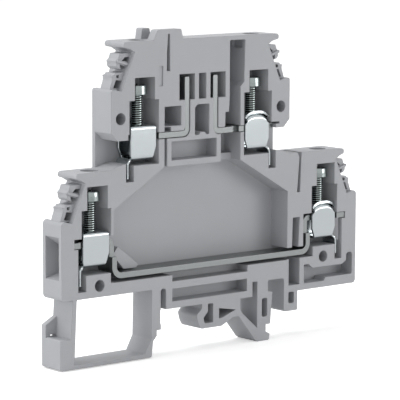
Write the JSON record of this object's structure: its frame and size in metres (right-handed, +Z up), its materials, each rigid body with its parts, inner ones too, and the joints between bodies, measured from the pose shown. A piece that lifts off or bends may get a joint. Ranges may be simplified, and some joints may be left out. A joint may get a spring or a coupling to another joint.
{
  "type": "double level terminal block",
  "caption": "Flat moulded terminal block with screw clamps on two levels, bent bars between them, one open side and a spring foot for a mounting section.",
  "frame": {"origin": "on the foot's seat plane, midway between the hook and the pad, midway through the thickness", "axes": "+X along the block to the right as its open side is seen, +Y from the open side to the closed side, +Z up"},
  "size_m": [0.0783, 0.0062, 0.0661],
  "materials": {
    "housing_polyamide": "moulded grey polyamide, fine matte grain",
    "tinned_copper": "tin-plated copper alloy, dull silver",
    "screw_steel": "bright zinc plating",
    "yoke_steel": "bright zinc plating, smooth"
  },
  "bodies": {
    "housing": {"housing": "housing_polyamide", "busbar_upper_left": "tinned_copper", "busbar_upper_right": "tinned_copper", "busbar_lower": "tinned_copper"},
    "screw_upper_left": {"screw_upper_left": "screw_steel"},
    "yoke_upper_left": {"yoke_upper_left": "yoke_steel"},
    "screw_upper_right": {"screw_upper_right": "screw_steel"},
    "yoke_upper_right": {"yoke_upper_right": "yoke_steel"},
    "screw_lower_left": {"screw_lower_left": "screw_steel"},
    "yoke_lower_left": {"yoke_lower_left": "yoke_steel"},
    "screw_lower_right": {"screw_lower_right": "screw_steel"},
    "yoke_lower_right": {"yoke_lower_right": "yoke_steel"}
  },
  "joints": [
    {"name": "screw_upper_left_turn", "type": "hinge", "parent": "housing", "child": "screw_upper_left", "pos_m": [-0.02245, -0.0004, 0.0401], "axis": [0, 0, -1], "range_deg": [-165, 2305]},
    {"name": "yoke_upper_left_lift", "type": "slide", "parent": "housing", "child": "yoke_upper_left", "axis": [0, 0, 1], "range_m": [-0.0002, 0.00287]},
    {"name": "screw_upper_right_turn", "type": "hinge", "parent": "housing", "child": "screw_upper_right", "pos_m": [0.00725, -0.0004, 0.0401], "axis": [0, 0, -1], "range_deg": [-165, 2305]},
    {"name": "yoke_upper_right_lift", "type": "slide", "parent": "housing", "child": "yoke_upper_right", "axis": [0, 0, 1], "range_m": [-0.0002, 0.00287]},
    {"name": "screw_lower_left_turn", "type": "hinge", "parent": "housing", "child": "screw_lower_left", "pos_m": [-0.03425, -0.0004, 0.0198], "axis": [0, 0, -1], "range_deg": [-165, 2305]},
    {"name": "yoke_lower_left_lift", "type": "slide", "parent": "housing", "child": "yoke_lower_left", "axis": [0, 0, 1], "range_m": [-0.0002, 0.00287]},
    {"name": "screw_lower_right_turn", "type": "hinge", "parent": "housing", "child": "screw_lower_right", "pos_m": [0.02605, -0.0004, 0.0198], "axis": [0, 0, -1], "range_deg": [-165, 2305]},
    {"name": "yoke_lower_right_lift", "type": "slide", "parent": "housing", "child": "yoke_lower_right", "axis": [0, 0, 1], "range_m": [-0.0002, 0.00287]}
  ],
  "couplings": [
    {"joint": "screw_upper_left_turn", "follows": "yoke_upper_left_lift", "rad_per_m": 13963},
    {"joint": "screw_upper_right_turn", "follows": "yoke_upper_right_lift", "rad_per_m": 13963},
    {"joint": "screw_lower_left_turn", "follows": "yoke_lower_left_lift", "rad_per_m": 13963},
    {"joint": "screw_lower_right_turn", "follows": "yoke_lower_right_lift", "rad_per_m": 13963}
  ]
}
